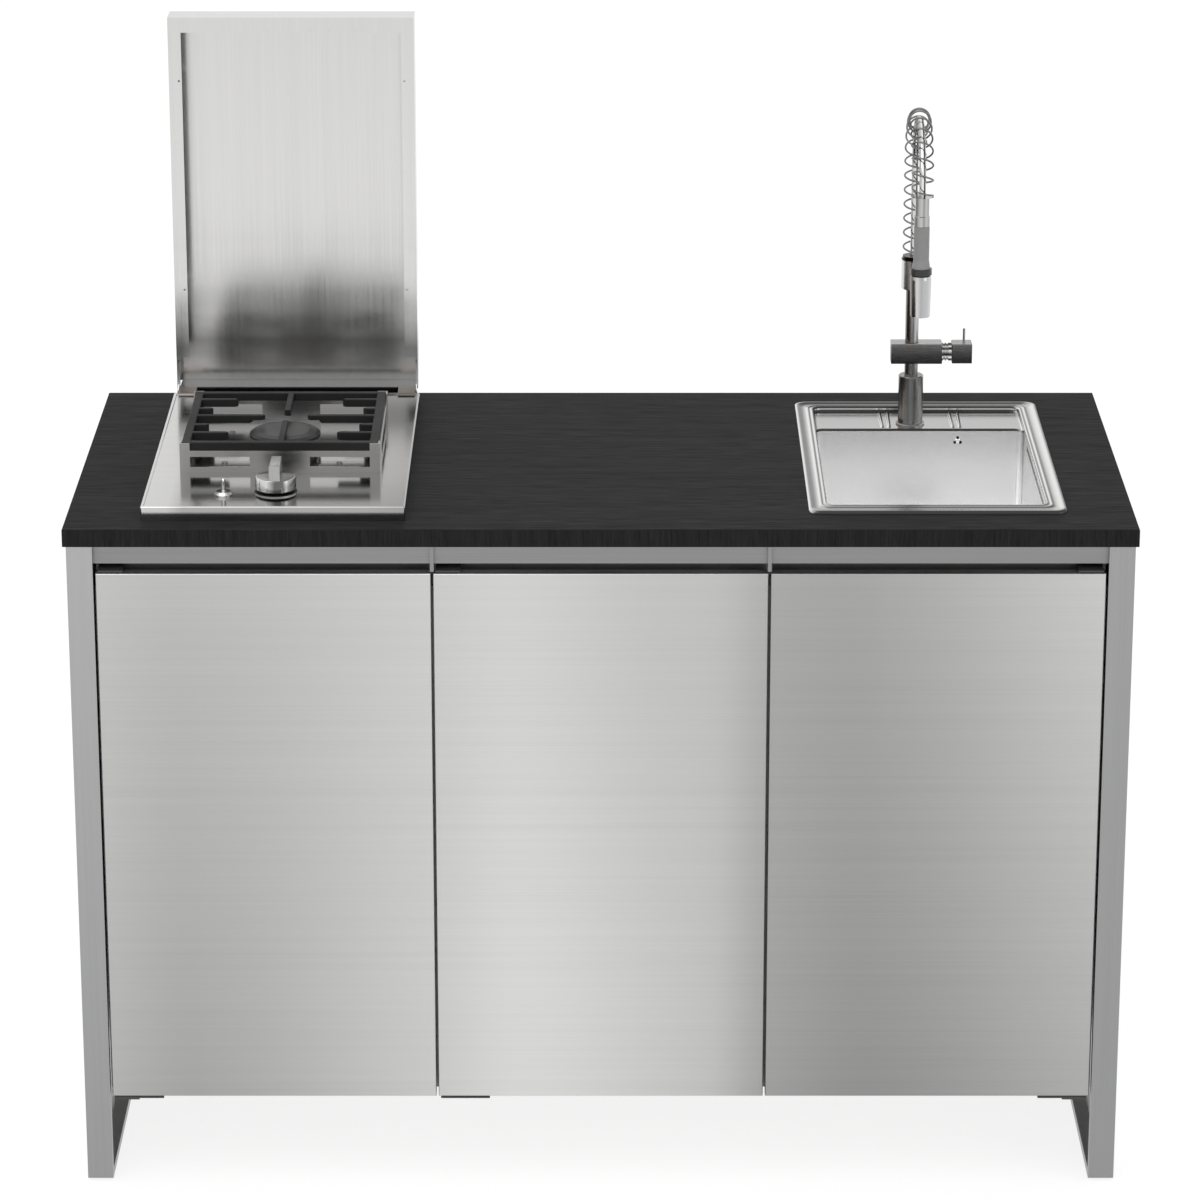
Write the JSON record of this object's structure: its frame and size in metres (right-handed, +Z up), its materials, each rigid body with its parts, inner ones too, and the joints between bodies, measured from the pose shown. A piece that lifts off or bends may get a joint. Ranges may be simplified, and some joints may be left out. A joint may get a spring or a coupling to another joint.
{
  "type": "kitchenette unit with sink and hob",
  "caption": "Kitchenette base unit with steel doors and side frames, black worktop, gas hob under a hinged lid, and an inset sink with a spring-neck mixer tap.",
  "frame": {"origin": "on the floor under the middle of the worktop", "axes": "+Z up, +X to the right seen from the front, the front faces -Y"},
  "size_m": [1.4, 0.65, 1.481],
  "materials": {
    "satin_steel": "satin brushed steel",
    "black_laminate": "black wood-grain laminate, satin",
    "board": "light grey melamine-faced board",
    "door_steel": "horizontally brushed stainless steel",
    "rail_aluminium": "satin aluminium",
    "bracket_steel": "dark coated steel",
    "hob_steel": "bright satin stainless steel",
    "galvanised": "zinc-coated sheet",
    "burner_black": "matte black enamel",
    "burner_alloy": "cast light alloy",
    "probe_ceramic": "white ceramic and steel",
    "grate_iron": "black enamelled cast iron",
    "brass": "plain machined brass",
    "pipe_metal": "drawn tube",
    "satin_chrome": "satin chrome",
    "black_rubber": "matte black rubber",
    "chrome": "bright chrome",
    "sink_steel": "satin stainless steel",
    "white_plastic": "matte white plastic",
    "dark_tap": "matte dark lacquer",
    "grey_plastic": "matte grey plastic",
    "screw_steel": "bright zinc plated"
  },
  "bodies": {
    "cabinet": {"side_frame_left": "satin_steel", "side_frame_right": "satin_steel", "side_infill_panels": "satin_steel", "floor_glides": "black_rubber", "worktop": "black_laminate", "carcass_sides": "board", "dividers": "board", "bottom_panel": "board", "back_panel": "board", "grip_rails": "rail_aluminium", "shelf": "board", "shelf_cleats": "board", "pivot_brackets_lower": "bracket_steel", "pivot_brackets_upper": "bracket_steel", "door_catches": "grey_plastic", "screws": "screw_steel", "hob_tray": "hob_steel", "hob_box": "galvanised", "burner_frame": "hob_steel", "burner_cup": "burner_alloy", "burner_crown": "burner_alloy", "spark_electrode": "probe_ceramic", "thermocouple": "probe_ceramic", "gas_valve": "brass", "gas_pipe": "pipe_metal", "knob_ring": "black_rubber", "igniter_collar": "satin_chrome", "lid_hinge_blocks": "satin_chrome", "hinge_cover": "hob_steel", "sink": "sink_steel", "sink_waste": "chrome", "waste_trap": "white_plastic", "overflow_plate": "chrome", "tap_base": "satin_chrome", "mixer_body": "dark_tap", "mixer_neck": "chrome"},
    "door_left": {"door_skin_left": "door_steel", "door_core_left": "board"},
    "door_middle": {"door_skin_middle": "door_steel", "door_core_middle": "board"},
    "door_right": {"door_skin_right": "door_steel", "door_core_right": "board"},
    "lid": {"lid": "hob_steel"},
    "grate": {"grate": "grate_iron"},
    "burner_cap": {"burner_cap": "burner_black"},
    "gas_spindle": {"valve_spindle": "brass"},
    "knob": {"knob": "satin_chrome"},
    "igniter": {"igniter_button": "chrome"},
    "mixer_lever": {"mixer_handle": "dark_tap", "lever_pin": "chrome"},
    "tap_column": {"tap_riser": "satin_chrome", "spring_holder": "chrome", "docking_arm": "dark_tap", "spring": "chrome", "hose": "black_rubber", "hose_collars": "chrome", "spray_grip": "grey_plastic", "spray_bell": "chrome"},
    "strainer": {"sink_strainer": "chrome"}
  },
  "joints": [
    {"name": "door_left_hinge", "type": "hinge", "parent": "cabinet", "child": "door_left", "pos_m": [-0.648, -0.3105, 0.5], "axis": [0, 0, -1], "range_deg": [0, 100]},
    {"name": "door_middle_hinge", "type": "hinge", "parent": "cabinet", "child": "door_middle", "pos_m": [-0.20767, -0.3105, 0.5], "axis": [0, 0, -1], "range_deg": [0, 100]},
    {"name": "door_right_hinge", "type": "hinge", "parent": "cabinet", "child": "door_right", "pos_m": [0.648, -0.3105, 0.5], "axis": [0, 0, 1], "range_deg": [0, 100]},
    {"name": "lid_hinge", "type": "hinge", "parent": "cabinet", "child": "lid", "pos_m": [-0.428, 0.267, 0.946], "axis": [-1, 0, 0], "range_deg": [-90, 0]},
    {"name": "grate_lift", "type": "slide", "parent": "cabinet", "child": "grate", "axis": [0, 0, 1], "range_m": [0, 0.1]},
    {"name": "burner_cap_lift", "type": "slide", "parent": "cabinet", "child": "burner_cap", "axis": [0, 0, 1], "range_m": [0, 0.04]},
    {"name": "knob_turn", "type": "hinge", "parent": "cabinet", "child": "gas_spindle", "pos_m": [-0.428, -0.216, 0.94], "axis": [0, 0, 1], "range_deg": [0, 180]},
    {"name": "knob_press", "type": "slide", "parent": "gas_spindle", "child": "knob", "axis": [0, 0, -1], "range_m": [0, 0.0025], "stiffness_N_per_m": 1600, "springref_m": -0.0005},
    {"name": "igniter_press", "type": "slide", "parent": "cabinet", "child": "igniter", "axis": [0, 0, -1], "range_m": [0, 0.004], "stiffness_N_per_m": 800, "springref_m": -0.0005},
    {"name": "tap_swivel", "type": "hinge", "parent": "cabinet", "child": "tap_column", "pos_m": [0.432, 0.185, 1.05], "axis": [0, 0, 1], "range_deg": [-60, 60]},
    {"name": "mixer_turn", "type": "hinge", "parent": "cabinet", "child": "mixer_lever", "pos_m": [0.49, 0.185, 1.029], "axis": [1, 0, 0], "range_deg": [0, 90]},
    {"name": "strainer_lift", "type": "slide", "parent": "cabinet", "child": "strainer", "axis": [0, 0, 1], "range_m": [0, 0.06]}
  ],
  "couplings": [
    {"joint": "burner_cap_lift", "follows": "grate_lift", "ratio": 0.4}
  ]
}
